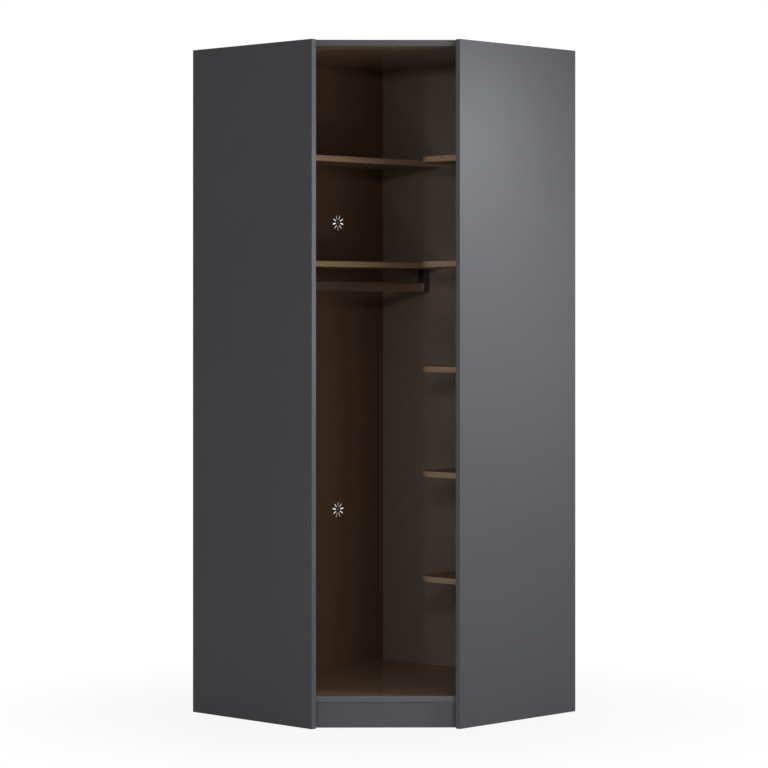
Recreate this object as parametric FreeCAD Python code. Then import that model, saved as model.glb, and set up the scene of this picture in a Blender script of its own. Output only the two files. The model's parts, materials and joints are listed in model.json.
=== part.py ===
# Corner wardrobe with an open diagonal front, built from flat-pack boards.
# The two rear faces stand against the walls of a room corner at +X and +Y, and the open front
# looks out along -X -Y. The origin is on the floor under the middle of the outline, +Z is up,
# and all lengths are in millimetres.
import FreeCAD
import Part
import math
import os

Vector = FreeCAD.Vector

# Overall sizes
height = 2200.0
wall_length = 900.0
side_depth = 566.0

# Boards and edge bands
board = 19.0
band = 1.0
front_setback = 20.0

# Base under the bottom panel
base_height = 82.0
plinth_setback = 2.5
plinth_end_gap = 2.0
bracket_leg = 24.0
bracket_wall = 3.0
bracket_length = 32.0
bracket_margin = 90.0
bracket_screw_offset = 15.0

# Hardboard back in its grooves
hardboard = 3.2
back_inset = 20.0
groove_depth = 8.0
groove_play = 0.2
groove_end_play = 0.8

# Vent rosettes in the hardboard
vent_slots = 9
vent_inner_radius = 10.0
vent_outer_radius = 27.5
vent_slot_width = 4.0
vent_eye_radius = 2.0
vent_end_offset = 540.0
vent_corner_offset = 223.0

# Shelves
shelf_depth = 284.0
shelf_play = 0.8
hole_pitch = 32.0
holes_per_bay = 11
lowest_shelf_rise = 342.5
right_shelf_count = 5
shelf_gap = 129.2
shelf_corner_radius = 90.0
lower_left_level = 3
upper_left_level = 4

# Hanging rail, its socket on the left side panel and its strap hanger under the shelf
rail_height = 34.0
rail_width = 24.0
rail_wall = 1.5
rail_corner = 7.0
rail_front_offset = 69.8
rail_drop = 46.5
rail_end_gap = 5.0
rail_play = 0.25
socket_plate = 2.5
socket_wall = 2.5
socket_reach = 12.0
socket_lug = 15.0
strap = 2.0
strap_width = 25.0
strap_wall_gap = 7.0
strap_foot = 17.0

# Shelf pins
pin_radius = 2.5
pin_depth = 9.0
pin_head_radius = 3.5
pin_reach = 10.0
pin_seat = 2.0
pin_margin = 50.0

# Cam fittings
cam_radius = 7.5
cam_backset = 24.0
cam_below_axis = 4.5
cam_channel_radius = 3.8
cam_slot_width = 2.0
cam_slot_depth = 3.0
cam_margin = 80.0
shelf_cam_margin = 25.0
upright_cam_count = 3
upright_margin = 150.0
bolt_radius = 2.5
bolt_thread_depth = 11.0
bolt_neck_radius = 1.75
bolt_neck_length = 6.0
bolt_head_radius = 3.3
bolt_head_length = 3.0
bolt_bore_radius = 3.5

# Dowels
dowel_radius = 4.0
dowel_face_depth = 12.0
dowel_edge_depth = 18.0

# Pan-head screws
screw_head_radius = 3.8
screw_head = 2.4
screw_radius = 1.75
screw_length = 14.0

# Flat sides on the small round fittings and on their holes, which repeat too often to be drawn round
fitting_sides = 8

# Clearances and the overrun of every cut
hole_play = 0.15
hole_end_play = 0.8
overrun = 2.0

# Places that follow from the sizes
diagonal = math.sqrt(2.0)
half = wall_length / 2
inner = half - board
side_front = half - side_depth
front_line = side_front - inner + diagonal * front_setback
base_top = base_height + board
ceiling = height - board
back_face = half - back_inset - hardboard
left_shelf_front = back_face - shelf_play - shelf_depth
right_shelf_start = shelf_play - inner
right_shelf_length = left_shelf_front - shelf_gap - right_shelf_start
shelf_pitch = holes_per_bay * hole_pitch
bolt_shank_length = cam_backset - bolt_neck_length - bolt_head_length / 2
cam_depth = board / 2 + cam_below_axis
east = Vector(1, 0, 0)
north = Vector(0, 1, 0)
up = Vector(0, 0, 1)

# Solids that are gathered over the whole wardrobe, and the cuts that each board receives
bolts = []
cams = []
dowels = []
pins = []
rail_screws = []
plinth_screws = []
cuts = {}


def shelf_top(level):
    """Height of a shelf's upper face, counted from the lowest level, which is 0."""
    return base_top + lowest_shelf_rise + level * shelf_pitch


def block(x0, x1, y0, y1, z0, z1):
    """Upright block between two corners."""
    return Part.makeBox(x1 - x0, y1 - y0, z1 - z0, Vector(x0, y0, z0))


def prism(plan, z0, z1):
    """Straight-sided solid on a plan of (x, y) corners."""
    corners = [Vector(x, y, z0) for x, y in plan]
    face = Part.Face(Part.makePolygon(corners + corners[:1]))
    return face.extrude(up * (z1 - z0))


def rod(point, direction, radius, length):
    """Rod that starts at point and runs along direction, drawn with a few flat sides.

    radius reaches to the middle of a flat. One flat looks up, or to +X where the rod is upright.
    """
    across = east if direction.isParallel(up, 0.01) else up
    aside = direction.cross(across)
    corner_radius = radius / math.cos(math.pi / fitting_sides)
    corners = []
    for index in range(fitting_sides):
        turn = 2 * math.pi * (index + 0.5) / fitting_sides
        corners.append(point + (across * math.cos(turn) + aside * math.sin(turn)) * corner_radius)
    face = Part.Face(Part.makePolygon(corners + corners[:1]))
    return face.extrude(direction * length)


def stepped(point, direction, steps):
    """Rod of several thicknesses, from (start, end, radius) steps along direction from point."""
    rods = [rod(point + direction * start, direction, radius, end - start) for start, end, radius in steps]
    return rods[0].multiFuse(rods[1:]).removeSplitter()


def drill(point, direction, radius, depth):
    """Cut for a rod that enters a face at point and runs along direction."""
    return rod(point - direction * overrun, direction, radius, depth + overrun)


def bar(x0, x1, y, z, width, tall, radius):
    """Bar along X with rounded long edges, centred on y and z."""
    solid = block(x0, x1, y - width / 2, y + width / 2, z - tall / 2, z + tall / 2)
    long_edges = [edge for edge in solid.Edges if edge.tangentAt(0).isParallel(east, 0.01)]
    return solid.makeFillet(radius, long_edges)


def cut_for(node, *tools):
    """Note cuts that a board receives from its fittings."""
    cuts.setdefault(node, []).extend(tools)


def with_cuts(node, solid):
    """The board with all the cuts noted for it."""
    return solid.cut(cuts[node]) if node in cuts else solid


def save(node, *solids):
    """Write one node, as a group where it has several solids."""
    shape = solids[0] if len(solids) == 1 else Part.makeCompound(list(solids))
    shape.exportStep(f"parts/{node}.step")


def cam_joint(point, inward, face, faced, edged):
    """Cam fitting at a seam: the bolt sits in the faced board, its head in a cam in the edged one.

    point is on the seam at the middle of the edged board, inward runs into that board, and face
    is the outward normal of the side that the cam is let into.
    """
    neck_end = bolt_shank_length + bolt_neck_length
    steps = [
        (-bolt_thread_depth, bolt_shank_length, bolt_radius),
        (bolt_shank_length, neck_end, bolt_neck_radius),
        (neck_end, neck_end + bolt_head_length, bolt_head_radius),
    ]
    bolts.append(stepped(point, inward, steps))
    mouth = point + inward * cam_backset + face * (board / 2)
    housing = rod(mouth, -face, cam_radius, cam_depth)
    channel = drill(point, inward, cam_channel_radius, cam_backset + bolt_head_radius)
    slot_reach = cam_radius + overrun
    slot = block(-slot_reach, slot_reach, -cam_slot_width / 2, cam_slot_width / 2, -cam_slot_depth, overrun)
    slot.Placement = FreeCAD.Placement(mouth, FreeCAD.Rotation(up, face)).multiply(slot.Placement)
    cams.append(housing.cut([channel, slot]))
    cut_for(faced, drill(point, -inward, bolt_radius + hole_play, bolt_thread_depth + hole_end_play))
    cut_for(edged, drill(point, inward, bolt_bore_radius, cam_backset))
    cut_for(edged, drill(mouth, -face, cam_radius + hole_play, cam_depth + hole_end_play))


def dowel_joint(point, inward, faced, edged):
    """Dowel across a seam, with a hole in each board."""
    dowel_length = dowel_face_depth + dowel_edge_depth
    dowels.append(rod(point - inward * dowel_face_depth, inward, dowel_radius, dowel_length))
    radius = dowel_radius + hole_play
    cut_for(faced, drill(point, -inward, radius, dowel_face_depth + hole_end_play))
    cut_for(edged, drill(point, inward, radius, dowel_edge_depth + hole_end_play))


def shelf_pin(x, y, underside, out, node):
    """Pin in a board's face whose flat carries the underside of a shelf."""
    point = Vector(x, y, underside - pin_seat)
    steps = [(-pin_depth, 0, pin_radius), (0, pin_reach, pin_head_radius)]
    reach = pin_reach + overrun
    above = block(x - reach, x + reach, y - reach, y + reach, underside, underside + reach)
    pins.append(stepped(point, out, steps).cut(above))
    cut_for(node, drill(point, -out, pin_radius + hole_play, pin_depth + hole_end_play))


def screw(point, direction, thickness, node):
    """Pan-head screw whose head rests at point and which runs through a fitting into a board."""
    steps = [(-screw_head, 0, screw_head_radius), (0, screw_length, screw_radius)]
    entry = point + direction * thickness
    depth = screw_length - thickness + hole_end_play
    cut_for(node, drill(entry, direction, screw_radius + hole_play, depth))
    return stepped(point, direction, steps)


def seam_joints(first, last, inward, face, faced, edged, cam_count, margin):
    """Cams spread along a seam between two end points, and a dowel midway between neighbours."""
    along = (last - first).normalize()
    span = (last - first).Length - 2 * margin
    step = along * (span / (cam_count - 1))
    point = first + along * margin
    cam_joint(point, inward, face, faced, edged)
    for _ in range(cam_count - 1):
        dowel_joint(point + step / 2, inward, faced, edged)
        point = point + step
        cam_joint(point, inward, face, faced, edged)


def panel_plan(front):
    """Five-sided plan between the side panels, whose diagonal edge lies on x + y = front."""
    return [
        (-inner, half),
        (inner, half),
        (inner, -inner),
        (front + inner, -inner),
        (-inner, front + inner),
    ]


def diagonal_strip(front, thickness, gap):
    """Plan of a strip behind the line x + y = front, with ends that follow the side panels."""
    rear = front + diagonal * thickness
    reach = inner - gap
    return [
        (-reach, front + reach),
        (front + reach, -reach),
        (rear + reach, -reach),
        (-reach, rear + reach),
    ]


def groove(x0, x1, z0, z1):
    """Groove for the hardboard back."""
    return block(x0, x1, back_face - groove_play, half - back_inset + groove_play, z0, z1)


def carcass_joints():
    """Cams and dowels between the carcass boards."""
    for edged, middle, face in (
        ("top_panel", height - board / 2, up),
        ("bottom_panel", base_height + board / 2, -up),
    ):
        front_left = Vector(-inner, front_line + inner, middle)
        back_left = Vector(-inner, half, middle)
        front_right = Vector(front_line + inner, -inner, middle)
        back_right = Vector(inner, -inner, middle)
        corner = Vector(inner, half, middle)
        for faced, inward, first, last in (
            ("left_side_panel", east, front_left, back_left),
            ("right_side_panel", north, front_right, back_right),
            ("right_back_panel", -east, back_right, corner),
        ):
            seam_joints(first, last, inward, face, faced, edged, 2, cam_margin)
    foot = Vector(half - board / 2, -inner, 0)
    seam_joints(foot, foot + up * height, north, east, "right_side_panel", "right_back_panel",
                upright_cam_count, upright_margin)


def side_panels():
    """The two upright side panels with the bands on their square front edges."""
    band_back = side_front + band
    left = block(-half, -inner, band_back, half, 0, height)
    cut_for("left_side_panel",
            groove(-inner - groove_depth, -inner + overrun, -overrun, height + overrun))
    save("left_side_panel", with_cuts("left_side_panel", left))
    save("left_side_edging", block(-half, -inner, side_front, band_back, 0, height))
    right = block(band_back, half, -half, -inner, 0, height)
    save("right_side_panel", with_cuts("right_side_panel", right))
    save("right_side_edging", block(side_front, band_back, -half, -inner, 0, height))


def right_back():
    """The board along the right wall, which carries shelf ends, shelf backs and the hardboard's edge."""
    panel = block(inner, half, -inner, half, 0, height)
    cut_for("right_back_panel",
            groove(inner - overrun, inner + groove_depth, -overrun, height + overrun))
    save("right_back_panel", with_cuts("right_back_panel", panel))


def top_and_bottom():
    """The five-sided panels with their diagonal front bands."""
    board_line = front_line + diagonal * band
    wide = inner + overrun
    cut_for("top_panel", groove(-wide, wide, ceiling - overrun, ceiling + groove_depth))
    cut_for("bottom_panel", groove(-wide, wide, base_top - groove_depth, base_top + overrun))
    for name, z0 in (("top", ceiling), ("bottom", base_height)):
        panel = prism(panel_plan(board_line), z0, z0 + board)
        save(f"{name}_panel", with_cuts(f"{name}_panel", panel))
        save(f"{name}_edging", prism(diagonal_strip(front_line, band, 0), z0, z0 + board))


def rosette(x, z, first_turn):
    """Vent cuts through the hardboard: slots that fan out round a small eye.

    first_turn is the direction of the first slot, in degrees from straight up.
    """
    depth = hardboard + 2 * overrun
    face = back_face - overrun
    slot_length = vent_outer_radius - vent_inner_radius - vent_slot_width
    tools = [rod(Vector(x, face, z), north, vent_eye_radius, depth)]
    for index in range(vent_slots):
        turn = first_turn + 360 * index / vent_slots
        start = z + vent_inner_radius + vent_slot_width / 2
        middle = block(x - vent_slot_width / 2, x + vent_slot_width / 2, face, face + depth,
                       start, start + slot_length)
        ends = [rod(Vector(x, face, start + rise), north, vent_slot_width / 2, depth)
                for rise in (0, slot_length)]
        slot = middle.multiFuse(ends).removeSplitter()
        slot.rotate(Vector(x, face, z), north, turn)
        tools.append(slot)
    return tools


def left_back():
    """The hardboard panel, which stands in the bottom groove and has a vent towards each end."""
    reach = inner + groove_depth - groove_end_play
    panel = block(-reach, reach, back_face, half - back_inset,
                  base_top - groove_depth, ceiling + groove_depth - groove_end_play)
    vent_x = inner - vent_corner_offset
    lower = rosette(vent_x, base_top + vent_end_offset, 0)
    upper = rosette(vent_x, ceiling - vent_end_offset, 180)
    save("left_back_panel", panel.cut(lower + upper))


def bracket(turn, corner):
    """Angle bracket in the corner between a plinth and the bottom panel, with its two screws.

    corner is on the plinth's inner face under the bottom panel, and turn swings the bracket's
    reach from +X.
    """
    legs = [
        (0, 0),
        (bracket_leg, 0),
        (bracket_leg, -bracket_wall),
        (bracket_wall, -bracket_wall),
        (bracket_wall, -bracket_leg),
        (0, -bracket_leg),
    ]
    side = -bracket_length / 2
    corners = [Vector(reach, side, rise) for reach, rise in legs]
    solid = Part.Face(Part.makePolygon(corners + corners[:1])).extrude(north * bracket_length)
    web_wall = bracket_wall / 2
    web = [Vector(bracket_wall, -web_wall, -bracket_wall), Vector(bracket_leg, -web_wall, -bracket_wall),
           Vector(bracket_wall, -web_wall, -bracket_leg)]
    gusset = Part.Face(Part.makePolygon(web + web[:1])).extrude(north * bracket_wall)
    solid = solid.fuse(gusset).removeSplitter()
    place = FreeCAD.Placement(corner, FreeCAD.Rotation(up, turn))
    solid.Placement = place
    reach = place.Rotation.multVec(east)
    along = place.Rotation.multVec(north)
    aside = along * (bracket_length / 4)
    rise_point = corner + reach * bracket_screw_offset - up * bracket_wall - aside
    side_point = corner + reach * bracket_wall - up * bracket_screw_offset + aside
    holes = [drill(rise_point, up, screw_radius + hole_play, bracket_wall + overrun),
             drill(side_point, -reach, screw_radius + hole_play, bracket_wall + overrun)]
    return solid.cut(holes), rise_point, side_point, reach


def plinths():
    """The diagonal front plinth, the rear plinth and the brackets that hold both to the bottom panel."""
    plinth_line = front_line + diagonal * plinth_setback
    rear_line = plinth_line + diagonal * board
    rear_face = half - back_inset - board
    reach = inner - plinth_end_gap
    brackets = []
    places = []
    spread = (plinth_line / 2 + inner) - bracket_margin / diagonal
    for side in (-spread, spread):
        places.append(("front_plinth", 45, Vector(rear_line / 2 + side, rear_line / 2 - side, base_height)))
    for x in (bracket_margin - inner, inner - bracket_margin):
        places.append(("rear_plinth", -90, Vector(x, rear_face, base_height)))
    for node, turn, corner in places:
        solid, rise_point, side_point, reach_way = bracket(turn, corner)
        brackets.append(solid)
        plinth_screws.append(screw(rise_point, up, bracket_wall, "bottom_panel"))
        plinth_screws.append(screw(side_point, -reach_way, bracket_wall, node))
    front = prism(diagonal_strip(plinth_line, board, plinth_end_gap), 0, base_height)
    save("front_plinth", with_cuts("front_plinth", front))
    rear = block(-reach, reach, rear_face, half - back_inset, 0, base_height)
    save("rear_plinth", with_cuts("rear_plinth", rear))
    save("plinth_brackets", *brackets)
    save("plinth_screws", *plinth_screws)


def left_shelf(node, level, end_gap):
    """Long shelf along the hardboard back, with a band on its front edge."""
    reach = inner - end_gap
    top = shelf_top(level)
    band_back = left_shelf_front + band
    shelf = block(-reach, reach, band_back, back_face - shelf_play, top - board, top)
    save(node, with_cuts(node, shelf))
    save(f"{node}_edging", block(-reach, reach, left_shelf_front, band_back, top - board, top))


def left_shelves():
    """The loose upper shelf on its pins, and the fixed lower shelf on its cams."""
    back = back_face - shelf_play
    underside = shelf_top(upper_left_level) - board
    for y in (left_shelf_front + pin_margin, back - pin_margin):
        shelf_pin(-inner, y, underside, east, "left_side_panel")
        shelf_pin(inner, y, underside, -east, "right_back_panel")
    left_shelf("upper_left_shelf", upper_left_level, shelf_play)
    middle = shelf_top(lower_left_level) - board / 2
    for y in (left_shelf_front + shelf_cam_margin, back - shelf_cam_margin):
        cam_joint(Vector(-inner, y, middle), east, -up, "left_side_panel", "lower_left_shelf")
        cam_joint(Vector(inner, y, middle), -east, -up, "right_back_panel", "lower_left_shelf")
    left_shelf("lower_left_shelf", lower_left_level, 0)


def right_shelf_plan(inset, spread):
    """Plan of a short shelf with its rounded free corner.

    inset draws in the front and the free end, and spread runs past the back and the wall end.
    """
    back = inner - shelf_play + spread
    start = right_shelf_start - spread
    front = inner - shelf_play - shelf_depth + inset
    end = right_shelf_start + right_shelf_length - inset
    radius = shelf_corner_radius - inset
    centre = Vector(front + radius, end - radius, 0)
    arc_end = centre + north * radius
    arc_start = centre - east * radius
    arc_middle = centre + Vector(-radius / diagonal, radius / diagonal, 0)
    edges = [
        Part.LineSegment(Vector(front, start, 0), Vector(back, start, 0)),
        Part.LineSegment(Vector(back, start, 0), Vector(back, end, 0)),
        Part.LineSegment(Vector(back, end, 0), arc_end),
        Part.Arc(arc_end, arc_middle, arc_start),
        Part.LineSegment(arc_start, Vector(front, start, 0)),
    ]
    return Part.Face(Part.Wire([edge.toShape() for edge in edges]))


def right_shelves():
    """The short shelves, each loose on two pins in the side panel and two in the right back panel."""
    back = inner - shelf_play
    front = back - shelf_depth
    end = right_shelf_start + right_shelf_length
    for level in range(right_shelf_count):
        node = f"right_shelf_{level + 1}"
        top = shelf_top(level)
        underside = top - board
        for x in (front + pin_margin, back - pin_margin):
            shelf_pin(x, -inner, underside, north, "right_side_panel")
        for y in (right_shelf_start + pin_margin, end - pin_margin):
            shelf_pin(inner, y, underside, -east, "right_back_panel")
        lift = Vector(0, 0, underside)
        shelf = right_shelf_plan(band, 0).extrude(up * board)
        outer = right_shelf_plan(0, 0).extrude(up * board)
        core = right_shelf_plan(band, overrun).extrude(up * board)
        edging = outer.cut(core)
        save(node, shelf.translated(lift))
        save(f"{node}_edging", edging.translated(lift))


def hanging_rail():
    """The rail tube, its socket on the left side panel and its strap hanger under the lower shelf."""
    y = left_shelf_front + rail_front_offset
    underside = shelf_top(lower_left_level) - board
    z = underside - rail_drop - rail_height / 2
    start = socket_plate - inner
    end = inner - rail_end_gap
    tube = bar(start, end, y, z, rail_width, rail_height, rail_corner)
    bore = bar(start - overrun, end + overrun, y, z, rail_width - 2 * rail_wall,
               rail_height - 2 * rail_wall, rail_corner - rail_wall)
    save("hanging_rail", tube.cut(bore))

    grow = rail_play + socket_wall
    collar = bar(-inner, start + socket_reach, y, z, rail_width + 2 * grow, rail_height + 2 * grow,
                 rail_corner + grow)
    plate_width = rail_width + 2 * grow
    plate_height = rail_height + 2 * (grow + socket_lug)
    plate = bar(-inner, start, y, z, plate_width, plate_height, plate_width / 2 - hole_play)
    cup = bar(start, start + socket_reach + overrun, y, z, rail_width + 2 * rail_play,
              rail_height + 2 * rail_play, rail_corner + rail_play)
    holes = []
    lug_rise = rail_height / 2 + grow + socket_lug / 2
    for rise in (-lug_rise, lug_rise):
        point = Vector(start, y, z + rise)
        rail_screws.append(screw(point, -east, socket_plate, "left_side_panel"))
        holes.append(drill(point, -east, screw_radius + hole_play, socket_plate + overrun))
    save("rail_socket", plate.fuse(collar).cut([cup, *holes]).removeSplitter())

    strap_end = inner - strap_wall_gap
    strap_start = strap_end - strap_width
    tall = underside - (z - rail_height / 2 - rail_play)
    middle = underside - tall / 2
    slack = overrun + rail_corner
    loop = bar(strap_start, strap_end, y, middle - strap / 2 + slack / 2,
               rail_width + 2 * (rail_play + strap), tall + strap + slack, rail_corner + rail_play + strap)
    hollow = bar(strap_start - overrun, strap_end + overrun, y, middle + slack, rail_width + 2 * rail_play,
                 tall + 2 * slack, rail_corner + rail_play)
    foot_reach = rail_width / 2 + rail_play + strap + strap_foot
    feet = block(strap_start, strap_end, y - foot_reach, y + foot_reach, underside - strap, underside)
    above = block(strap_start - overrun, strap_end + overrun, y - foot_reach, y + foot_reach,
                  underside, underside + slack + overrun)
    holes = []
    screw_reach = foot_reach - strap_foot / 2
    for side in (-screw_reach, screw_reach):
        point = Vector((strap_start + strap_end) / 2, y + side, underside - strap)
        rail_screws.append(screw(point, up, strap, "lower_left_shelf"))
        holes.append(drill(point, up, screw_radius + hole_play, strap + overrun))
    save("rail_hanger", loop.fuse(feet).cut([hollow, above, *holes]).removeSplitter())
    save("rail_screws", *rail_screws)


def main():
    """Write every node, the fittings before the boards that they are let into."""
    os.makedirs("parts", exist_ok=True)
    carcass_joints()
    plinths()
    hanging_rail()
    right_shelves()
    left_shelves()
    side_panels()
    right_back()
    left_back()
    top_and_bottom()
    save("cam_bolts", *bolts)
    save("cam_housings", *cams)
    save("dowels", *dowels)
    save("shelf_pins", *pins)


main()
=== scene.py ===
"""Looks of an open corner wardrobe: finishes, edge bands, shelf pins, screws, studio and camera.

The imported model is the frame. All lengths are in metres, the walls of the room corner stand at +X
and +Y, the open front looks out along -X -Y, and the floor is at zero height.
"""

import json
import logging
import math
from dataclasses import dataclass, replace
from enum import Enum
from typing import Any, Iterable, Mapping, TypeAlias

import bpy
import numpy as np
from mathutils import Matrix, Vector

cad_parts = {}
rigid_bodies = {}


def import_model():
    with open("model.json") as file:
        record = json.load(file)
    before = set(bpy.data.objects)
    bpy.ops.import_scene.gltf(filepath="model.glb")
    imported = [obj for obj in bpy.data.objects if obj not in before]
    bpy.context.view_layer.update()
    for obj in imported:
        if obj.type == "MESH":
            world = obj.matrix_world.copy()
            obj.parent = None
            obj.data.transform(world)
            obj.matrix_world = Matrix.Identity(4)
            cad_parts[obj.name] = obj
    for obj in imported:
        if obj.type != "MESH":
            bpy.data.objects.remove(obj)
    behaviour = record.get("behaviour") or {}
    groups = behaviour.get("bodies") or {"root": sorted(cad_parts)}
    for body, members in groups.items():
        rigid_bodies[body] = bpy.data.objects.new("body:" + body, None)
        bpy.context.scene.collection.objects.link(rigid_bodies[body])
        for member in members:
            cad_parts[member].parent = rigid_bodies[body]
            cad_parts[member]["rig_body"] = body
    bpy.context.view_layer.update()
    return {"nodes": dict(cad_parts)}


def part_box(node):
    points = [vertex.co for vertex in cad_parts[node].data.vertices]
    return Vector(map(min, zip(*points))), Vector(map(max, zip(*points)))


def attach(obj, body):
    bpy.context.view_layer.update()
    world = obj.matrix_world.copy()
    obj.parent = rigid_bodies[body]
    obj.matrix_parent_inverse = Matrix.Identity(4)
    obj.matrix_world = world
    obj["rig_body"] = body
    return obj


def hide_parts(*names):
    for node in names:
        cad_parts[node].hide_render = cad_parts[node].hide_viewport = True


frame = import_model()
log = logging.getLogger("corner_wardrobe")

Colour: TypeAlias = tuple[float, float, float]
Point: TypeAlias = tuple[float, float, float]
Scalar: TypeAlias = "Value | float"

WHITE: Colour = (1.0, 1.0, 1.0)

# The Mix node's sockets for colours
MIX_FIRST, MIX_SECOND, MIX_RESULT = 6, 7, 2

# Octaves of the noise, and the level that it varies about
COARSE, USUAL, FINE, FIBROUS = 1.0, 2.0, 3.0, 4.0
NOISE_MIDDLE = 0.5


class Axis(Enum):
    """Axis of the shared frame, by its place in a coordinate."""

    X = 0
    Y = 1
    Z = 2

    def unit(self) -> np.ndarray:
        """Unit vector along the axis."""
        return np.eye(3)[self.value]


class Way(Enum):
    """Side of a plane, as the Math operation that finds it."""

    ABOVE = "GREATER_THAN"
    BELOW = "LESS_THAN"


class Value:
    """Node socket that takes part in Python expressions, each of which adds a Math node."""

    def __init__(self, graph: "Graph", socket: bpy.types.NodeSocket) -> None:
        """Keep the socket and the graph that it belongs to."""
        self.graph = graph
        self.socket = socket

    def math(self, operation: str, *others: Scalar) -> "Value":
        """Apply a Math operation to this value and others.

        Args:
            operation: Name of the Math node's operation.
            others: Further values or numbers.

        Returns:
            The result as a value.
        """
        inputs = dict(enumerate((self, *others)))
        return self.graph.node("ShaderNodeMath", {"operation": operation}, inputs)

    def __add__(self, other: Scalar) -> "Value":
        """Sum."""
        return self.math("ADD", other)

    __radd__ = __add__

    def __mul__(self, other: Scalar) -> "Value":
        """Product."""
        return self.math("MULTIPLY", other)

    __rmul__ = __mul__

    def __sub__(self, other: Scalar) -> "Value":
        """Difference."""
        return self.math("SUBTRACT", other)

    def __rsub__(self, other: Scalar) -> "Value":
        """Difference from a number."""
        return self * -1.0 + other

    def sine(self) -> "Value":
        """Sine of the value in radians."""
        return self.math("SINE")

    def bigger(self, other: "Value") -> "Value":
        """The larger of two values, which joins two masks."""
        return self.math("MAXIMUM", other)


class Graph:
    """Node tree of a material or a world, with one method that adds every kind of node."""

    def __init__(self, owner: bpy.types.Material | bpy.types.World) -> None:
        """Keep the owner and the tree that its nodes go into.

        Args:
            owner: The material or world.
        """
        owner.use_nodes = True
        self.owner = owner
        self.tree = owner.node_tree

    def feed(self, node: bpy.types.Node, inputs: Mapping[int | str, Any]) -> None:
        """Set or link a node's inputs.

        Args:
            node: The node.
            inputs: Numbers, colours or values by the socket's index or name.
        """
        for key, given in inputs.items():
            socket = node.inputs[key]
            if isinstance(given, Value):
                self.tree.links.new(given.socket, socket)
            elif socket.type == "RGBA":
                socket.default_value = (*given, 1.0)
            else:
                socket.default_value = given

    def node(self, kind: str, settings: Mapping[str, Any] | None = None,
             inputs: Mapping[int | str, Any] | None = None, output: int | str = 0) -> Value:
        """Add a node of any type.

        Args:
            kind: Blender's name of the node type.
            settings: Properties, set first. A ramp's stops stand under "stops".
            inputs: Numbers, colours or values by the socket's index or name.
            output: Index or name of the output socket to return.

        Returns:
            That output socket as a value.
        """
        made = self.tree.nodes.new(kind)
        for key, setting in (settings or {}).items():
            if key == "stops":
                ramp = made.color_ramp.elements
                while len(ramp) < len(setting):
                    ramp.new(1.0)
                for stop, (place, colour) in zip(ramp, setting):
                    stop.position = place
                    stop.color = (*colour, 1.0)
            else:
                setattr(made, key, setting)
        self.feed(made, inputs or {})
        return Value(self, made.outputs[output])

    def place(self) -> Value:
        """Object coordinates, in metres of the shared frame."""
        return self.node("ShaderNodeTexCoord", output="Object")

    def along(self, axis: Axis) -> Value:
        """One coordinate of the surface point."""
        return self.node("ShaderNodeSeparateXYZ", inputs={0: self.place()}, output=axis.value)

    def noise(self, size: Point | float, detail: float = USUAL) -> Value:
        """Noise about zero, mostly from -0.3 to 0.3.

        Args:
            size: Grain length in metres, one for all axes or one for each.
            detail: Number of finer octaves.

        Returns:
            The noise value.
        """
        lengths = size if isinstance(size, tuple) else (size, size, size)
        scale = tuple(1.0 / length for length in lengths)
        spread = self.node("ShaderNodeVectorMath", {"operation": "MULTIPLY"},
                           {0: self.place(), 1: scale})
        inputs = {"Vector": spread, "Scale": 1.0, "Detail": detail}
        return self.node("ShaderNodeTexNoise", inputs=inputs) - NOISE_MIDDLE

    def chips(self, size: float) -> Value:
        """Random value from 0 to 1 that is constant on each cell.

        Args:
            size: Rough size of a cell in metres.

        Returns:
            The random value.
        """
        inputs = {"Vector": self.place(), "Scale": 1.0 / size}
        cells = self.node("ShaderNodeTexVoronoi", inputs=inputs, output="Color")
        return self.node("ShaderNodeSeparateColor", inputs={0: cells})

    def mix(self, first: Any, second: Any, factor: Scalar) -> Value:
        """Blend of two colours, where a factor of 1 gives the second."""
        inputs = {0: factor, MIX_FIRST: first, MIX_SECOND: second}
        return self.node("ShaderNodeMix", {"data_type": "RGBA"}, inputs, MIX_RESULT)

    def tint(self, colour: Any, level: Value) -> Value:
        """Colour multiplied by a level.

        Args:
            colour: The colour, or a value that holds one.
            level: The level, which may pass 1.

        Returns:
            The product.
        """
        grey = self.node("ShaderNodeCombineColor", inputs={0: level, 1: level, 2: level})
        settings = {"data_type": "RGBA", "blend_type": "MULTIPLY"}
        inputs = {0: 1.0, MIX_FIRST: colour, MIX_SECOND: grey}
        return self.node("ShaderNodeMix", settings, inputs, MIX_RESULT)

    def seen_directly(self) -> Value:
        """Mask of the rays that show the surroundings.

        Returns:
            1 from the camera, in a reflection or through glass, and 0 for scattered light.
        """
        rays = ("Is Camera Ray", "Is Glossy Ray", "Is Transmission Ray")
        camera, glossy, clear = (self.node("ShaderNodeLightPath", output=ray) for ray in rays)
        return camera.bigger(glossy).bigger(clear)


@dataclass(frozen=True)
class Layer:
    """What a surface shows at each point: its colour, its roughness and its relief in metres."""

    colour: Value
    roughness: Value
    height: Value

    def under(self, other: "Layer", mask: Value) -> "Layer":
        """This layer with another one over it.

        Args:
            other: The layer on top.
            mask: 1 where the top layer shows and 0 elsewhere.

        Returns:
            Both as one layer.
        """
        return Layer(
            mask.graph.mix(self.colour, other.colour, mask),
            self.roughness + (other.roughness - self.roughness) * mask,
            self.height + (other.height - self.height) * mask,
        )


@dataclass(frozen=True)
class Zone:
    """Part of a surface that lies beyond a plane across one axis."""

    axis: Axis
    way: Way
    limit: float

    def mask(self, graph: Graph) -> Value:
        """1 inside the zone and 0 outside."""
        return graph.along(self.axis).math(self.way.value, self.limit)


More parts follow.
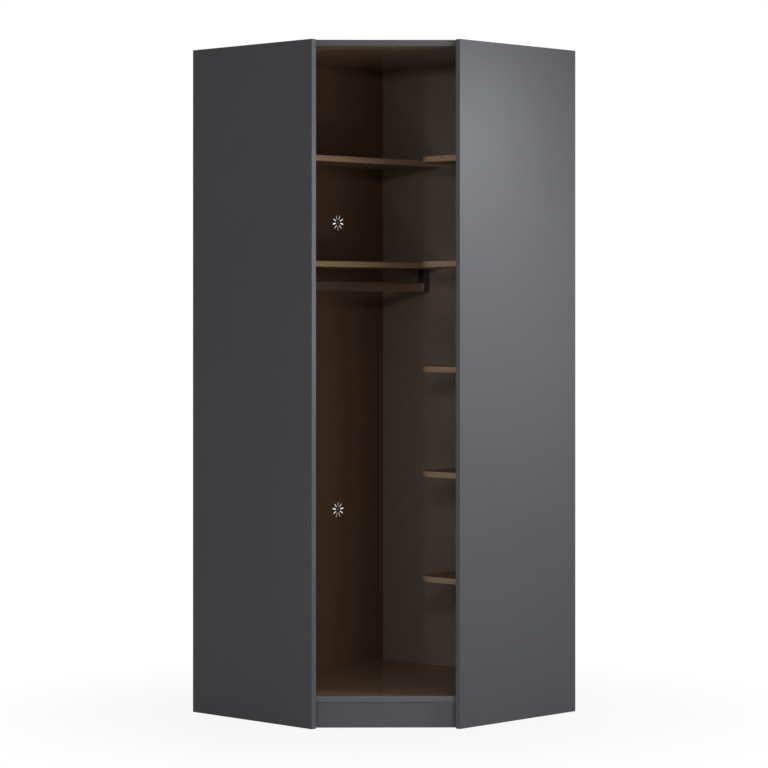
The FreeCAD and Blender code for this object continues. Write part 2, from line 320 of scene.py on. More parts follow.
class Finish:
    """Base of all finishes, which turn a layer into a material."""

    def layer(self, graph: Graph) -> Layer:
        """Colour, roughness and relief of the finish."""
        raise NotImplementedError

    def constants(self) -> dict[str, float]:
        """Shader inputs that are the same all over the surface."""
        return {}

    def material(self, name: str) -> bpy.types.Material:
        """Make the material.

        Args:
            name: Name of the material.

        Returns:
            The material, with its shader fed by the layer.
        """
        graph = Graph(bpy.data.materials.new(name))
        layer = self.layer(graph)
        bump = {"Strength": 1.0, "Distance": 1.0, "Height": layer.height}
        normal = graph.node("ShaderNodeBump", inputs=bump)
        varying = {"Base Color": layer.colour, "Roughness": layer.roughness, "Normal": normal}
        graph.feed(graph.tree.nodes["Principled BSDF"], {**varying, **self.constants()})
        return graph.owner


@dataclass(frozen=True)
class Melamine(Finish):
    """Printed melamine face: drift of tone, fine grain, printed threads and pressed relief."""

    colour: Colour
    roughness: float
    drift_share: float = 0.08
    grain_share: float = 0.40
    thread_share: float = 0.0
    smudge_share: float = 0.22
    drift_size: float = 0.30
    grain_size: float = 0.0013
    smudge_size: float = 0.05
    threads: tuple[Point, ...] = ()
    relief: float = 0.00006
    shine: float = 0.2

    def layer(self, graph: Graph) -> Layer:
        """Base colour times drift, grain and threads, with relief from the last two.

        Args:
            graph: Node tree that takes the nodes.

        Returns:
            The layer.
        """
        grain = graph.noise(self.grain_size)
        print_level = grain * self.grain_share + graph.noise(self.drift_size) * self.drift_share
        height = grain
        for size in self.threads:
            thread = graph.noise(size, FINE)
            print_level = print_level + thread * self.thread_share
            height = height + thread
        roughness = graph.noise(self.smudge_size, FINE) * self.smudge_share + self.roughness
        return Layer(graph.tint(self.colour, print_level + 1.0), roughness, height * self.relief)

    def constants(self) -> dict[str, float]:
        """Strength of the clear reflection."""
        return {"Specular IOR Level": self.shine}


@dataclass(frozen=True)
class Chipboard(Finish):
    """Raw pressed core that shows on edges without a band."""

    dark: Colour = (0.16, 0.095, 0.05)
    middle: Colour = (0.36, 0.25, 0.15)
    pale: Colour = (0.56, 0.43, 0.28)
    middle_place: float = 0.55
    roughness: float = 0.85
    chip_size: float = 0.003
    dust_size: float = 0.0008
    dust_share: float = 0.2
    relief: float = 0.00025

    def layer(self, graph: Graph) -> Layer:
        """Chips of three tones with fine dust between them.

        Args:
            graph: Node tree that takes the nodes.

        Returns:
            The layer.
        """
        chip = graph.chips(self.chip_size)
        dust = graph.noise(self.dust_size)
        stops = [(0.0, self.dark), (self.middle_place, self.middle), (1.0, self.pale)]
        tones = graph.node("ShaderNodeValToRGB", {"stops": stops}, {0: chip})
        roughness = dust * self.dust_share + self.roughness
        return Layer(graph.tint(tones, dust + 1.0), roughness, (chip + dust) * self.relief)


@dataclass(frozen=True)
class Board(Finish):
    """Melamine board with another print on its inner side and a raw core on some edges."""

    outside: Melamine
    inside: Melamine
    inside_zones: tuple[Zone, ...] = ()
    raw_zones: tuple[Zone, ...] = ()
    core: Chipboard = Chipboard()

    def layer(self, graph: Graph) -> Layer:
        """The outer print, the inner print on its zones and the core on the raw edges.

        Args:
            graph: Node tree that takes the nodes.

        Returns:
            The layer.
        """
        layer = self.outside.layer(graph)
        for zones, finish in ((self.inside_zones, self.inside), (self.raw_zones, self.core)):
            if zones:
                mask = zones[0].mask(graph)
                for zone in zones[1:]:
                    mask = mask.bigger(zone.mask(graph))
                layer = layer.under(finish.layer(graph), mask)
        return layer

    def constants(self) -> dict[str, float]:
        """Reflection of the outer print."""
        return self.outside.constants()


@dataclass(frozen=True)
class Hardboard(Finish):
    """Thin fibre panel, lacquered inside and raw with a sieve print on its rear face."""

    lacquer: Melamine
    fibre: Colour
    rear: Zone
    roughness: float = 0.75
    sieve_pitch: float = 0.0014
    sieve_share: float = 0.12
    fibre_size: Point = (0.006, 0.006, 0.0012)
    fibre_share: float = 0.7
    smudge_share: float = 0.1
    relief: float = 0.00008

    def layer(self, graph: Graph) -> Layer:
        """The lacquer, and on the rear face fibres under a net of pressed dimples.

        The net is the product of a sine wave along X and one along Z.

        Args:
            graph: Node tree that takes the nodes.

        Returns:
            The layer.
        """
        turns = 2.0 * math.pi / self.sieve_pitch
        net = (graph.along(Axis.X) * turns).sine() * (graph.along(Axis.Z) * turns).sine()
        fibres = graph.noise(self.fibre_size, FIBROUS)
        level = fibres * self.fibre_share + net * self.sieve_share + 1.0
        roughness = fibres * self.smudge_share + self.roughness
        raw = Layer(graph.tint(self.fibre, level), roughness, (net + fibres) * self.relief)
        return self.lacquer.layer(graph).under(raw, self.rear.mask(graph))

    def constants(self) -> dict[str, float]:
        """Reflection of the lacquer."""
        return self.lacquer.constants()


@dataclass(frozen=True)
class EdgeTape(Finish):
    """Plastic edge band with fine streaks along its length."""

    colour: Colour
    run: Point
    roughness: float = 0.42
    streak_share: float = 0.5
    smudge_share: float = 0.1
    grain_share: float = 0.15
    grain_size: float = 0.0006
    relief: float = 0.000012
    shine: float = 0.25

    def layer(self, graph: Graph) -> Layer:
        """Base colour times long streaks and a fine grain.

        Args:
            graph: Node tree that takes the nodes.

        Returns:
            The layer.
        """
        streak = graph.noise(self.run, FINE)
        grain = graph.noise(self.grain_size, COARSE)
        level = streak * self.streak_share + grain * self.grain_share + 1.0
        roughness = streak * self.smudge_share + self.roughness
        return Layer(graph.tint(self.colour, level), roughness, (streak + grain) * self.relief)

    def constants(self) -> dict[str, float]:
        """Strength of the clear reflection."""
        return {"Specular IOR Level": self.shine}


@dataclass(frozen=True)
class Metal(Finish):
    """Plated or brushed metal, with scratches as long as its grain."""

    colour: Colour
    roughness: float
    grain: Point
    grain_share: float = 0.18
    cloud_size: float = 0.03
    cloud_share: float = 0.12
    relief: float = 0.000004

    def layer(self, graph: Graph) -> Layer:
        """Base colour clouded a little, with roughness and relief from the scratches.

        Args:
            graph: Node tree that takes the nodes.

        Returns:
            The layer.
        """
        scratch = graph.noise(self.grain, FINE)
        cloud = graph.noise(self.cloud_size)
        roughness = scratch * self.grain_share + cloud * self.cloud_share + self.roughness
        colour = graph.tint(self.colour, cloud * self.cloud_share + 1.0)
        return Layer(colour, roughness, scratch * self.relief)

    def constants(self) -> dict[str, float]:
        """Bare metal all over."""
        return {"Metallic": 1.0}


@dataclass(frozen=True)
class Moulding(Finish):
    """Moulded plastic with an eroded skin."""

    colour: Colour
    roughness: float = 0.55
    grain_size: float = 0.0009
    grain_share: float = 0.12
    relief: float = 0.00003

    def layer(self, graph: Graph) -> Layer:
        """Base colour times a fine grain that also gives the relief.

        Args:
            graph: Node tree that takes the nodes.

        Returns:
            The layer.
        """
        grain = graph.noise(self.grain_size)
        share = grain * self.grain_share
        return Layer(graph.tint(self.colour, share + 1.0), share + self.roughness,
                     grain * self.relief)


@dataclass(frozen=True)
class Beech(Finish):
    """Turned beech with short dark flecks."""

    colour: Colour = (0.47, 0.28, 0.13)
    roughness: float = 0.6
    fleck_size: Point = (0.004, 0.0007, 0.0007)
    fleck_share: float = 0.5
    smudge_share: float = 0.2
    relief: float = 0.00005

    def layer(self, graph: Graph) -> Layer:
        """Base colour times flecks along the grain.

        Args:
            graph: Node tree that takes the nodes.

        Returns:
            The layer.
        """
        fleck = graph.noise(self.fleck_size, FINE)
        colour = graph.tint(self.colour, fleck * self.fleck_share + 1.0)
        return Layer(colour, fleck * self.smudge_share + self.roughness, fleck * self.relief)


# Finishes of the wardrobe
SATIN: Point = (0.0009, 0.0009, 0.0009)
ANTHRACITE = Melamine(colour=(0.089, 0.0905, 0.0985), roughness=0.5, shine=0.12)
LINEN = ((0.0014, 0.0014, 0.04), (0.04, 0.04, 0.0014))
PORES = ((0.14, 0.005, 0.005),)
TAUPE = Melamine(colour=(0.238, 0.190, 0.151), roughness=0.55, thread_share=0.4, threads=LINEN)
UMBER = Melamine(colour=(0.210, 0.136, 0.086), roughness=0.5, grain_share=0.12,
                 thread_share=0.4, threads=PORES, relief=0.000012)
DECK_UMBER = replace(UMBER, roughness=0.22, shine=0.45)
MATT_UMBER = replace(DECK_UMBER, roughness=0.7)
# Plinth: the side panels' anthracite made lighter, painted light for the brighter low front
PLINTH_GREY_PAINTED_LIGHT = Melamine(colour=(0.104, 0.106, 0.115), roughness=0.5, shine=0.12)
BROWN_LACQUER = Melamine(colour=(0.131, 0.075, 0.041), roughness=0.5)
FIBRE_BROWN: Colour = (0.17, 0.095, 0.045)
GREY_TAPE: Colour = (0.098, 0.0985, 0.104)
# The grey band made darker for the top's front and lighter for the bottom's front: painted shade
# above, painted light below
TOP_TAPE_PAINTED_SHADE: Colour = (0.068, 0.069, 0.076)
BOTTOM_TAPE_PAINTED_LIGHT: Colour = (0.114, 0.116, 0.125)
LONG_TAPE: Colour = (0.355, 0.235, 0.135)
SHORT_TAPE: Colour = (0.52, 0.365, 0.24)
RAIL_METAL = Metal(colour=(0.66, 0.55, 0.44), roughness=0.36, grain=(0.05, 0.0004, 0.0004))
FITTING_METAL = Metal(colour=(0.20, 0.18, 0.165), roughness=0.5, grain=SATIN)
# Nickel made much darker than bare nickel: painted shade that hides the pins' glint under the
# shelves
NICKEL_PAINTED_SHADE = Metal(colour=(0.30, 0.285, 0.27), roughness=0.4, grain=SATIN)
ZINC = Metal(colour=(0.48, 0.49, 0.51), roughness=0.45, grain=SATIN, cloud_size=0.004)
YELLOW_ZINC = Metal(colour=(0.58, 0.52, 0.32), roughness=0.32, grain=SATIN)
BLACK_PLASTIC = Moulding(colour=(0.022, 0.02, 0.018))


def dress(material: bpy.types.Material, *nodes: str) -> None:
    """Give CAD nodes a material.

    Args:
        material: The material.
        nodes: Names of the nodes whose material slots take it.
    """
    for node in nodes:
        for slot in frame["nodes"][node].material_slots:
            slot.material = material
        log.info("dressed %s with %s", node, material.name)


def corners(node: str) -> tuple[np.ndarray, np.ndarray]:
    """Lowest and highest corner of a CAD node as arrays."""
    low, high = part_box(node)
    return np.array(low), np.array(high)


def ring_faces(rows: int, columns: int, first: int) -> tuple[np.ndarray, list[list[int]]]:
    """Faces of a stack of closed rings.

    Each quad joins two neighbours of one ring to the same two of the next. A cap closes each end.

    Args:
        rows: Number of rings.
        columns: Number of points in a ring.
        first: Index of the first point.

    Returns:
        The quads as an array of indices, and the two caps.
    """
    index = first + np.arange(rows * columns).reshape(rows, columns)
    onward = np.roll(index, -1, axis=1)
    quads = np.stack([index[:-1], onward[:-1], onward[1:], index[1:]], axis=-1).reshape(-1, 4)
    return quads, [index[0, ::-1].tolist(), index[-1].tolist()]


def outward(rings: np.ndarray) -> np.ndarray:
    """Rings in the order that makes their faces look outwards.

    The sum of the quads' triple products about the stack's middle is negative in the wrong order.

    Args:
        rings: Points as (rows, columns, 3).

    Returns:
        The rings, reversed where that sum is negative.
    """
    local = rings - rings.reshape(-1, 3).mean(axis=0)
    onward = np.roll(local, -1, axis=1)
    triple = np.einsum("rci,rci->", local[:-1], np.cross(onward[:-1], onward[1:]))
    return rings if triple >= 0 else rings[:, ::-1]


@dataclass
class Piece:
    """New mesh made of stacks of closed rings, which stands for CAD nodes."""

    name: str
    stacks: list[np.ndarray]
    material: bpy.types.Material
    body: str
    slot: str
    replaced: tuple[str, ...]
    smooth_angle: float = math.radians(35.0)

    def build(self) -> None:
        """Make the mesh, set it on its body and hide the nodes that it stands for."""
        faces: list[list[int]] = []
        points = [outward(rings) for rings in self.stacks]
        first = 0
        for rings in points:
            quads, caps = ring_faces(*rings.shape[:2], first)
            faces += quads.tolist() + caps
            first += rings.shape[0] * rings.shape[1]
        mesh = bpy.data.meshes.new(self.name)
        vertices = np.concatenate([rings.reshape(-1, 3) for rings in points])
        mesh.from_pydata(vertices.tolist(), [], faces)
        mesh.materials.append(self.material)
        mesh.shade_smooth()
        mesh.set_sharp_from_angle(angle=self.smooth_angle)
        made = bpy.data.objects.new(self.name, mesh)
        bpy.context.scene.collection.objects.link(made)
        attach(made, self.body)
        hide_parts(*self.replaced)
        log.info("built %s with %d faces on %s", self.name, len(faces), self.body)


def body_of(node: str) -> str:
    """Body that a CAD node rides on."""
    return frame["nodes"][node]["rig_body"]


@dataclass
class EdgeBand:
    """Band glued to the edge of a board, with its two outer edges rounded over."""

    node: str
    slot: str
    material: bpy.types.Material
    rounding: float = 0.0008
    corner_steps: int = 4
    flat_margin: float = 0.0004

    def profile(self, width: float, thickness: float) -> np.ndarray:
        """Section of the band as (across, out) points.

        It runs up one side, round a quarter circle, over the flat, round a second one and down.

        Args:
            width: Size across the edge.
            thickness: Size out from the board.

        Returns:
            Points as (points, 2).
        """
        turn = np.linspace(0.0, math.pi / 2, self.corner_steps + 1)
        rise = self.rounding * np.sin(turn) + thickness - self.rounding
        step = self.rounding * (1.0 - np.cos(turn))
        edge = self.rounding + self.flat_margin
        first = np.stack([step, rise], axis=1)
        last = np.stack([width - step, rise], axis=1)[::-1]
        flat = np.array([[edge, thickness], [width - edge, thickness]])
        return np.concatenate([[[0.0, 0.0]], first, flat, last, [[width, 0.0]]])

    def sweep(self, path: np.ndarray, out: np.ndarray, across: np.ndarray, width: float,
              thickness: float) -> None:
        """Carry the section along a path: point = path + across * u + out * v.

        Args:
            path: Points along the board's edge as (points, 3).
            out: Direction away from the board at each of them, longer than 1 on a mitred end.
            across: Unit vector over the edge.
            width: Size across the edge.
            thickness: Size out from the board.
        """
        section = self.profile(width, thickness)
        rings = path[:, None] + section[None, :, :1] * across + section[None, :, 1:] * out[:, None]
        Piece(f"{self.node}_band", [rings], self.material, body_of(self.node), self.slot,
              (self.node,)).build()

    def straight(self, run: Axis, facing: Axis) -> None:
        """Band along one axis that looks to the low side of another.

        Args:
            run: Axis of the band's length.
            facing: Axis whose low side it looks to.
        """
        low, high = corners(self.node)
        size = high - low
        start = np.where(facing.unit() > 0, high, low)
        path = np.stack([start, start + run.unit() * size])
        across = 1.0 - run.unit() - facing.unit()
        out = np.repeat(-facing.unit()[None], 2, axis=0)
        self.sweep(path, out, across, float(size @ across), float(size[facing.value]))

    def diagonal(self, thickness: float) -> None:
        """Band across the open front, whose ends follow the two side panels.

        Args:
            thickness: Size out from the board.
        """
        low, high = corners(self.node)
        path = np.array([[low[0], high[1], low[2]], [high[0], low[1], low[2]]])
        out = np.stack([-Axis.Y.unit(), -Axis.X.unit()]) * math.sqrt(2.0)
        self.sweep(path, out, Axis.Z.unit(), high[2] - low[2], thickness)

    def wrapped(self, radius: float, thickness: float, arc_steps: int) -> None:
        """Band along a front, round a quarter circle and along the free end of a shelf.

        Args:
            radius: Outer radius of the corner.
            thickness: Size out from the board.
            arc_steps: Number of steps round the corner.
        """
        low, high = corners(self.node)
        turn = np.linspace(math.pi, math.pi / 2, arc_steps + 1)
        round_out = np.stack([np.cos(turn), np.sin(turn), np.zeros_like(turn)], axis=1)
        out = np.concatenate([round_out[:1], round_out, round_out[-1:]])
        centre = np.array([low[0] + radius, high[1] - radius, low[2]])
        path = np.concatenate([
            [[low[0] + thickness, low[1], low[2]]],
            centre + round_out * (radius - thickness),
            [[high[0], high[1] - thickness, low[2]]],
        ])
        self.sweep(path, out, Axis.Z.unit(), high[2] - low[2], thickness)


@dataclass
class Carcass:
    """Side panels, backs, top and bottom, with the bands on their front edges."""

    band: float = 0.001
    skin: float = 0.0004
    tape_run: Point = (0.004, 0.004, 0.35)
    front_run: Point = (0.2, 0.2, 0.004)

    def beyond(self, axis: Axis, way: Way, plane: float) -> Zone:
        """Zone of the faces that lie on a plane, a skin's depth wide."""
        return Zone(axis, way, plane - self.skin if way is Way.ABOVE else plane + self.skin)

    def boards(self) -> None:
        """Prints on the inner and outer faces, and a raw core on rear and lower edges."""
        left_low, left_high = corners("left_side_panel")
        _, right_high = corners("right_side_panel")
        rear = self.beyond(Axis.Y, Way.ABOVE, left_high[1])
        foot = self.beyond(Axis.Z, Way.BELOW, left_low[2])
        left_inside = (self.beyond(Axis.X, Way.ABOVE, left_high[0]),)
        right_inside = (self.beyond(Axis.Y, Way.ABOVE, right_high[1]),)
        top_low, top_high = corners("top_panel")
        upper_half = Zone(Axis.Z, Way.ABOVE, float(top_low[2] + top_high[2]) / 2)
        left = Board(ANTHRACITE, TAUPE, left_inside, (rear, foot))
        right = Board(ANTHRACITE, TAUPE, right_inside, (foot,))
        back = Board(TAUPE, TAUPE, raw_zones=(rear, foot))
        top = Board(DECK_UMBER, MATT_UMBER, (upper_half,), (rear,))
        deck = Board(DECK_UMBER, DECK_UMBER, raw_zones=(rear,))
        dress(left.material("left_side_board"), "left_side_panel")
        dress(right.material("right_side_board"), "right_side_panel")
        dress(back.material("back_board"), "right_back_panel")
        dress(top.material("top_board"), "top_panel")
        dress(deck.material("deck_board"), "bottom_panel")

    def back(self) -> None:
        """Lacquered hardboard with a raw rear face."""
        _, high = corners("left_back_panel")
        rear = self.beyond(Axis.Y, Way.ABOVE, high[1])
        panel = Hardboard(BROWN_LACQUER, FIBRE_BROWN, rear)
        dress(panel.material("hardboard"), "left_back_panel")

    def bands(self) -> None:
        """Grey bands on the side panels and across the front of the top and bottom."""
        upright = EdgeTape(GREY_TAPE, self.tape_run).material("upright_tape")
        EdgeBand("left_side_edging", "outer_edging", upright).straight(Axis.Z, Axis.Y)
        EdgeBand("right_side_edging", "outer_edging", upright).straight(Axis.Z, Axis.X)
        # Top band painted darker and bottom band painted lighter than the side bands: painted shade
        # and painted light
        for node, colour in (("top_edging", TOP_TAPE_PAINTED_SHADE), ("bottom_edging", BOTTOM_TAPE_PAINTED_LIGHT)):
            tape = EdgeTape(colour, self.front_run).material(f"{node}_tape")
            EdgeBand(node, "outer_edging", tape).diagonal(self.band)


@dataclass
class Base:
    """Plinths under the bottom panel, with their brackets and screws."""

    def dress(self) -> None:
        """Grey boards, black brackets and zinc plated screws."""
        # The plinth grey is the side panels' anthracite made lighter: painted light
        dress(PLINTH_GREY_PAINTED_LIGHT.material("plinth_board"), "front_plinth", "rear_plinth")
        dress(BLACK_PLASTIC.material("bracket_plastic"), "plinth_brackets")
        dress(ZINC.material("screw_zinc"), "plinth_screws")


@dataclass
class Shelves:
    """Long and short shelves with their bands, and the pins under the loose ones."""

    band: float = 0.001
    corner_radius: float = 0.09
    corner_arc_steps: int = 28
    pin_margin: float = 0.05
    pin_seat: float = 0.002
    pin_depth: float = 0.009
    pin_reach: float = 0.01
    pin_radius: float = 0.0025
    pin_collar: float = 0.0012
    pin_collar_radius: float = 0.0043
    pin_head_radius: float = 0.0035
    pin_bevel: float = 0.0006
    pin_sides: int = 32
    long_run: Point = (0.35, 0.004, 0.0025)
    short_run: Point = (0.12, 0.12, 0.0025)
    right_count: int = 5

    def right_nodes(self) -> list[str]:
        """Names of the short shelves, from the lowest."""
        return [f"right_shelf_{level + 1}" for level in range(self.right_count)]

    def boards(self) -> None:
        """Brown print on all shelves."""
        dress(UMBER.material("shelf_board"), "upper_left_shelf", "lower_left_shelf",
              *self.right_nodes())

    def bands(self) -> None:
        """Light brown bands, wrapped round the free corner of the short shelves."""
        long_tape = EdgeTape(LONG_TAPE, self.long_run).material("long_shelf_tape")
        short_tape = EdgeTape(SHORT_TAPE, self.short_run).material("short_shelf_tape")
        for node in ("upper_left_shelf_edging", "lower_left_shelf_edging"):
            EdgeBand(node, "shelf_edging", long_tape).straight(Axis.X, Axis.Y)
        for node in self.right_nodes():
            band = EdgeBand(f"{node}_edging", "shelf_edging", short_tape)
            band.wrapped(self.corner_radius, self.band, self.corner_arc_steps)

    def pin_places(self) -> Iterable[tuple[np.ndarray, np.ndarray]]:
        """Where each pin leaves its board, and the direction in which it stands out.

        Returns:
            Pairs of a point on the board's face at the pin's axis and a unit vector.
        """
        left_face = corners("left_side_panel")[1][0]
        side_face = corners("right_side_panel")[1][1]
        back_face = corners("right_back_panel")[0][0]
        inset = np.array([self.pin_margin, self.pin_margin, 0.0])
        for node in self.right_nodes():
            low, high = corners(f"{node}_edging")
            axis_height = low[2] - self.pin_seat
            near, far = low + inset, high - inset
            for x in (near[0], far[0]):
                yield np.array([x, side_face, axis_height]), Axis.Y.unit()
            for y in (near[1], far[1]):
                yield np.array([back_face, y, axis_height]), -Axis.X.unit()
        front = corners("upper_left_shelf_edging")[0]
        rear = corners("upper_left_shelf")[1]
        for y in (front[1] + self.pin_margin, rear[1] - self.pin_margin):
            yield np.array([left_face, y, front[2] - self.pin_seat]), Axis.X.unit()
            yield np.array([back_face, y, front[2] - self.pin_seat]), -Axis.X.unit()

    def pin(self, point: np.ndarray, out: np.ndarray) -> np.ndarray:
        """Turned pin whose top is cut flat where it carries the shelf.

        Over the profile (d, r) and the turn t, a point is the pin's foot, plus d outwards, plus the
        lesser of r cos t and the seat upwards, plus r sin t sideways.

        Args:
            point: Point on the board's face at the axis.
            out: Unit vector away from the board.

        Returns:
            Rings as (profile points, sides, 3).
        """
        bevel = self.pin_bevel
        profile = np.array([
            [-self.pin_depth, self.pin_radius - bevel],
            [bevel - self.pin_depth, self.pin_radius],
            [0.0, self.pin_radius],
            [0.0, self.pin_collar_radius],
            [self.pin_collar, self.pin_collar_radius],
            [self.pin_collar, self.pin_head_radius],
            [self.pin_reach - bevel, self.pin_head_radius],
            [self.pin_reach, self.pin_head_radius - bevel],
        ])
        turn = np.linspace(0.0, 2.0 * math.pi, self.pin_sides, endpoint=False)
        distance, radius = profile[:, :1], profile[:, 1:]
        rise = np.minimum(radius * np.cos(turn), self.pin_seat)
        aside = radius * np.sin(turn)
        reach = distance + np.zeros_like(turn)
        up = Axis.Z.unit()
        return (point + reach[..., None] * out + rise[..., None] * up
                + aside[..., None] * np.cross(up, out))

    def pins(self) -> None:
        """All pins as one piece on the carcass."""
        stacks = [self.pin(point, out) for point, out in self.pin_places()]
        # The pins' nickel is darkened: painted shade
        Piece("turned_shelf_pins", stacks, NICKEL_PAINTED_SHADE.material("pin_nickel"), body_of("shelf_pins"),
              "pin_steel", ("shelf_pins",)).build()


@dataclass
class HangingRail:
    """Rail tube, socket and strap hanger, with pan-head screws."""

    plate: float = 0.0025
    lug_half: float = 0.0075
    strap: float = 0.002
    foot_half: float = 0.0085
    screw_head_radius: float = 0.0038
    screw_head: float = 0.0024
    screw_rim: float = 0.0009
    screw_radius: float = 0.0017
    screw_length: float = 0.014
    shank_share: float = 0.8
    tip_share: float = 0.25
    crown_share: float = 0.01
    recess_half: float = 0.0005
    recess_reach: float = 0.0021
    recess_depth: float = 0.0013
    screw_sides: int = 64
    dome_steps: int = 16

    def metal(self) -> None:
        """Satin tube with dark fittings."""
        dress(RAIL_METAL.material("rail_tube"), "hanging_rail")
        dress(FITTING_METAL.material("rail_fitting"), "rail_socket", "rail_hanger")

    def screw_places(self) -> Iterable[tuple[np.ndarray, np.ndarray]]:
        """Where each screw head rests, and the direction in which the screw goes in.

        Returns:
            Pairs of a point and a unit vector.
        """
        low, high = corners("rail_socket")
        middle = (low + high) / 2
        for z in (low[2] + self.lug_half, high[2] - self.lug_half):
            yield np.array([low[0] + self.plate, middle[1], z]), -Axis.X.unit()
        low, high = corners("rail_hanger")
        middle = (low + high) / 2
        for y in (low[1] + self.foot_half, high[1] - self.foot_half):
            yield np.array([middle[0], y, high[2] - self.strap]), Axis.Z.unit()

    def screw(self, point: np.ndarray, inward: np.ndarray) -> np.ndarray:
        """Screw with a domed head and a cross recess.

        The dome is a quarter ellipse over the rim. It is lowered by the recess depth where a point
        lies in one of two crossing bars: x or y within the bar's half width, both within its reach.

        Args:
            point: Middle of the head's seat.
            inward: Unit vector into the board.

        Returns:
            Rings as (profile points, sides, 3).
        """
        turn = np.linspace(0.0, 2.0 * math.pi, self.screw_sides, endpoint=False)
        share = np.linspace(1.0, self.crown_share, self.dome_steps)
        dome = self.screw_rim + (self.screw_head - self.screw_rim) * np.sqrt(1.0 - share ** 2)
        shank = np.array([
            [-self.screw_length, self.screw_radius * self.tip_share],
            [-self.screw_length * self.shank_share, self.screw_radius],
            [0.0, self.screw_radius],
            [0.0, self.screw_head_radius],
        ])
        profile = np.concatenate([shank, np.stack([dome, share * self.screw_head_radius], axis=1)])
        height = profile[:, :1] + np.zeros_like(turn)
        x, y = profile[:, 1:] * np.cos(turn), profile[:, 1:] * np.sin(turn)
        bar = np.minimum(np.abs(x), np.abs(y)) < self.recess_half
        inside = np.maximum(np.abs(x), np.abs(y)) < self.recess_reach
        height = height - np.where(bar & inside & (height > self.screw_rim), self.recess_depth, 0.0)
        first = np.roll(np.abs(inward), 1)
        second = np.cross(inward, first)
        return point - height[..., None] * inward + x[..., None] * first + y[..., None] * second

    def screws(self) -> None:
        """All four screws as one piece."""
        stacks = [self.screw(point, inward) for point, inward in self.screw_places()]
        Piece("pan_head_screws", stacks, ZINC.material("rail_screw_zinc"), body_of("rail_screws"),
              "screw_steel", ("rail_screws",)).build()


@dataclass
class Joinery:
    """Cam fittings and dowels, let into the boards."""

    def dress(self) -> None:
        """Cast zinc housings, yellow plated bolts and beech dowels."""
        dress(ZINC.material("cam_zinc"), "cam_housings")
        dress(YELLOW_ZINC.material("bolt_zinc"), "cam_bolts")
        dress(Beech().material("dowel_beech"), "dowels")


@dataclass(frozen=True)
class SoftBox:
    """Flat studio light that looks at a point."""

    name: str
    place: Point
    target: Point
    width: float
    height: float
    power: float

    def build(self) -> None:
        """Add the light."""
        lamp = bpy.data.lights.new(self.name, "AREA")
        lamp.shape = "RECTANGLE"
        lamp.size = self.width
        lamp.size_y = self.height
        lamp.energy = self.power
        holder = bpy.data.objects.new(self.name, lamp)
        holder.visible_camera = False
        holder.location = self.place
        aim = Vector(self.target) - Vector(self.place)
        holder.rotation_euler = aim.to_track_quat("-Z", "Y").to_euler()
        bpy.context.scene.collection.objects.link(holder)


# Key light on the left, soft lights in front, on the right and above, and one behind
KEY_PLACE: Point = (-5.07, -1.95, 2.36)
MIDDLE: Point = (0.0, 0.0, 1.1)
LIGHTS = (
    SoftBox("key_light", KEY_PLACE, MIDDLE, width=1.8, height=1.8, power=15.5),
    SoftBox("small_key_light", KEY_PLACE, MIDDLE, width=0.15, height=0.15, power=9.3),
    SoftBox("front_light", (-3.6, -3.2, 2.3), (-0.3, -0.2, 1.3),
            width=1.2, height=0.15, power=17.0),
    SoftBox("middle_light", (-1.9, -4.3, 1.5), (-0.1, -0.3, 1.2),
            width=1.2, height=1.2, power=17.0),
    SoftBox("low_light", (-1.5, -1.5, 0.25), (-0.25, -0.25, 0.1), width=0.6, height=0.6, power=1.9),
    SoftBox("low_right_light", (-0.74, -1.95, 0.85), (-0.1, -0.2, 0.9),
            width=0.4, height=0.4, power=5.5),
    SoftBox("right_light", (0.45, -1.7, 1.4), (0.0, -0.4, 1.3), width=0.25, height=0.6, power=14.5),
    SoftBox("edge_light", (-0.1, -0.95, 1.93), (-0.06, -0.45, 1.9),
            width=0.3, height=0.3, power=3.4),
    SoftBox("top_light", (-1.5, -1.5, 4.0), (-0.1, -0.1, 1.2), width=1.2, height=1.2, power=3.5),
    SoftBox("rear_light", (4.5, 4.5, 3.0), MIDDLE, width=3.0, height=3.0, power=220.0),
)


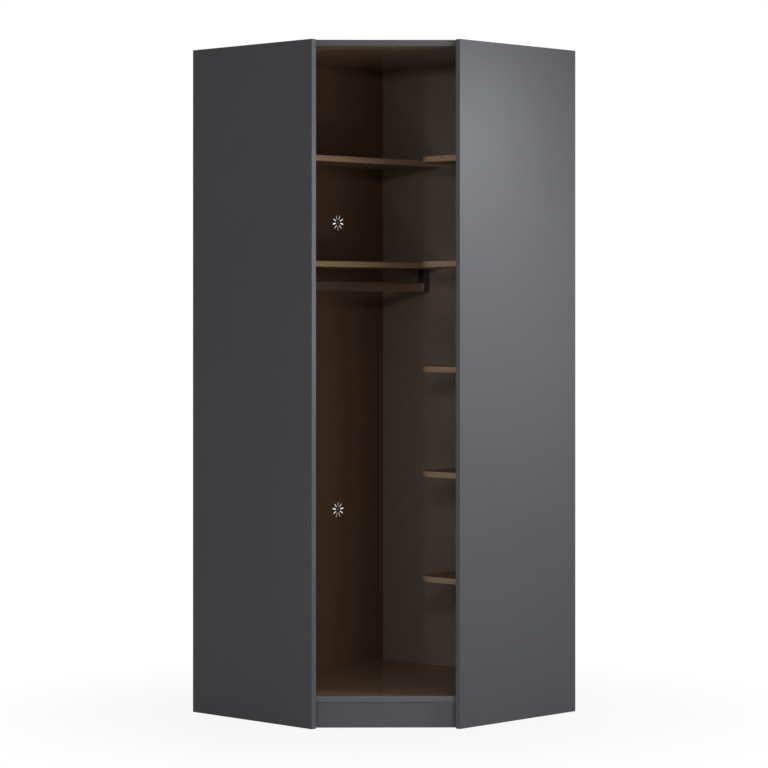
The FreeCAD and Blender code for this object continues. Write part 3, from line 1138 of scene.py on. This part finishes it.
@dataclass
class Studio:
    """Pale floor, white surroundings, soft lights and the camera."""

    floor_half: float = 30.0
    floor_colour: Colour = (0.62, 0.62, 0.62)
    floor_roughness: float = 0.9
    floor_shine: float = 0.1
    floor_cloud_size: float = 0.4
    floor_cloud_share: float = 0.02
    floor_white_share: float = 0.9
    shadow_near: float = 0.6
    shadow_far: float = 1.6
    fill: Colour = (0.135, 0.135, 0.138)
    eye: Point = (-6.7066, -6.5370, 1.3242)
    look: Point = (0.7161, 0.6980, 0.0)
    lens: float = 131.9
    sensor: float = 36.0
    shift_x: float = -0.0004
    shift_y: float = -0.0916

    def surroundings(self) -> None:
        """White for whatever is seen directly, and a soft fill for scattered light."""
        world = bpy.data.worlds.new("studio")
        bpy.context.scene.world = world
        graph = Graph(world)
        colour = graph.mix(self.fill, WHITE, graph.seen_directly())
        graph.feed(graph.tree.nodes["Background"], {"Color": colour, "Strength": 1.0})

    def paper(self) -> bpy.types.Material:
        """Pale paper that looks white to the camera and still takes the object's shadow.

        White covers most of the paper near the object, and all of it beyond the shadow.

        Returns:
            The floor's material.
        """
        graph = Graph(bpy.data.materials.new("floor_paper"))
        shader = graph.tree.nodes["Principled BSDF"]
        level = graph.noise(self.floor_cloud_size) * self.floor_cloud_share + 1.0
        graph.feed(shader, {"Base Color": graph.tint(self.floor_colour, level),
                            "Roughness": self.floor_roughness,
                            "Specular IOR Level": self.floor_shine})
        white = graph.node("ShaderNodeEmission", inputs={"Color": WHITE, "Strength": 1.0})
        away = graph.node("ShaderNodeVectorMath", {"operation": "LENGTH"},
                          {0: graph.place()}, "Value")
        reach = {"Value": away, "From Min": self.shadow_near, "From Max": self.shadow_far}
        far = graph.node("ShaderNodeMapRange", {"interpolation_type": "SMOOTHSTEP"}, reach)
        share = far * (1.0 - self.floor_white_share) + self.floor_white_share
        paper = Value(graph, shader.outputs[0])
        both = graph.node("ShaderNodeMixShader",
                          inputs={0: graph.seen_directly() * share, 1: paper, 2: white})
        graph.feed(graph.tree.nodes["Material Output"], {"Surface": both})
        return graph.owner

    def floor(self) -> None:
        """Flat square floor, its corners half its size out along X and Y."""
        mesh = bpy.data.meshes.new("studio_floor")
        signs = np.array([[-1.0, -1.0, 0.0], [1.0, -1.0, 0.0], [1.0, 1.0, 0.0], [-1.0, 1.0, 0.0]])
        mesh.from_pydata((signs * self.floor_half).tolist(), [], [[0, 1, 2, 3]])
        mesh.materials.append(self.paper())
        made = bpy.data.objects.new("studio_floor", mesh)
        bpy.context.scene.collection.objects.link(made)

    def camera(self) -> None:
        """Camera at the photograph's viewpoint, level, with its frame shifted down."""
        data = bpy.data.cameras.new("camera")
        data.lens = self.lens
        data.sensor_width = self.sensor
        data.shift_x = self.shift_x
        data.shift_y = self.shift_y
        holder = bpy.data.objects.new("camera", data)
        holder.location = self.eye
        holder.rotation_euler = Vector(self.look).to_track_quat("-Z", "Y").to_euler()
        bpy.context.scene.collection.objects.link(holder)
        bpy.context.scene.camera = holder

    def build(self) -> None:
        """Set up everything round the wardrobe."""
        self.camera()
        self.floor()
        self.surroundings()
        for light in LIGHTS:
            light.build()
        bpy.context.scene.view_settings.view_transform = "Standard"


def main() -> None:
    """Dress the wardrobe, add its finer pieces and set up the studio."""
    logging.basicConfig(level=logging.INFO, format="%(name)s: %(message)s")
    carcass = Carcass()
    carcass.boards()
    carcass.back()
    carcass.bands()
    Base().dress()
    shelves = Shelves()
    shelves.boards()
    shelves.bands()
    shelves.pins()
    rail = HangingRail()
    rail.metal()
    rail.screws()
    Joinery().dress()
    Studio().build()


if __name__ == "__main__":
    main()
